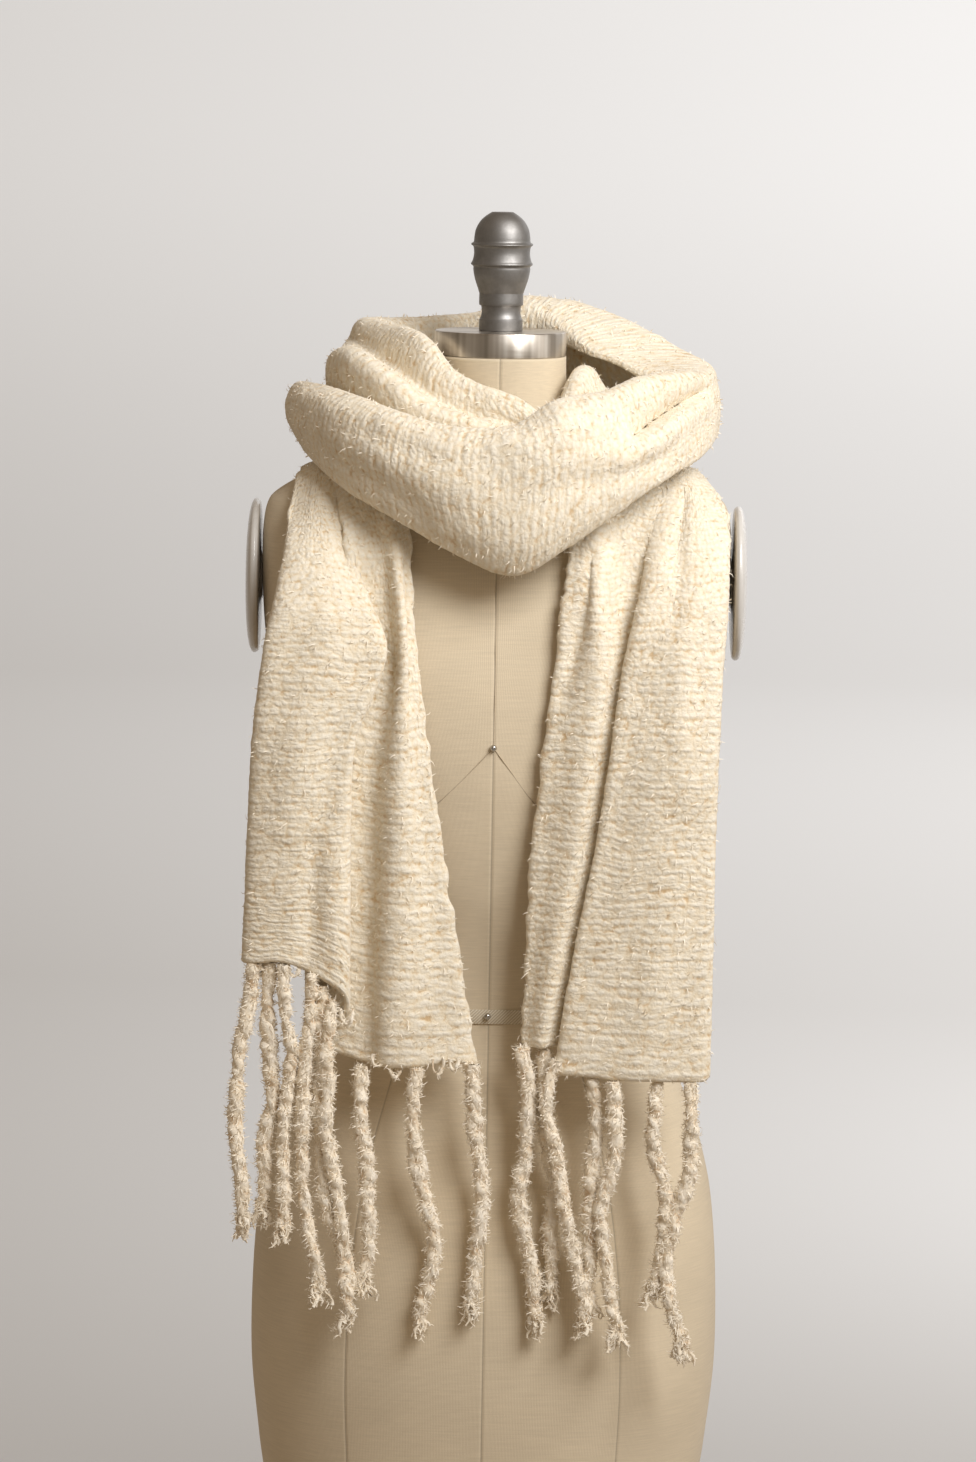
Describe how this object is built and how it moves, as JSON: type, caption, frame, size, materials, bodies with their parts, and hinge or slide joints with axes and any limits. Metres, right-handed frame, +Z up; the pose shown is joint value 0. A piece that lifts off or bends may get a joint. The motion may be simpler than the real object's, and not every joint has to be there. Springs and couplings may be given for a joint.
{
  "type": "knitted scarf on a dress form",
  "caption": "Chunky looped-knit scarf with a corded fringe, wound round the neck of a limbless linen dress form, with both tails hanging in front.",
  "frame": {"origin": "middle of the part's box in X and Y, at the height of the surface that the base board stands on", "axes": "+Z up along the neck; the front of the form faces -Y; +X is to the right of someone who looks at the front"},
  "size_m": [0.388, 0.2982, 1.0281],
  "materials": {
    "boucle_knit": "soft looped boucle knit, cream, fuzzy",
    "fringe_yarn": "thick twisted boucle cord, warm cream",
    "linen_cover": "tight plain-weave linen, natural, matte",
    "cap_steel": "brushed steel, satin",
    "finial_pewter": "turned cast metal, dull grey, satin",
    "arm_plate_plastic": "pale grey moulded plastic, glossy",
    "waist_tape_twill": "narrow cotton twill tape, unbleached",
    "base_wood": "plain varnished hardwood board"
  },
  "bodies": {
    "root": {"scarf_left_neck_fold": "boucle_knit", "scarf_back_wrap": "boucle_knit", "scarf_front_swag": "boucle_knit", "scarf_back_under": "boucle_knit", "scarf_right_neck_fold": "boucle_knit", "scarf_left_tail": "boucle_knit", "scarf_right_tail": "boucle_knit", "scarf_left_fringe": "fringe_yarn", "scarf_right_fringe": "fringe_yarn", "form_torso": "linen_cover", "form_neck_cap": "cap_steel", "form_finial": "finial_pewter", "form_left_arm_plate": "arm_plate_plastic", "form_right_arm_plate": "arm_plate_plastic", "form_waist_tape": "waist_tape_twill", "form_base_board": "base_wood"}
  },
  "joints": []
}
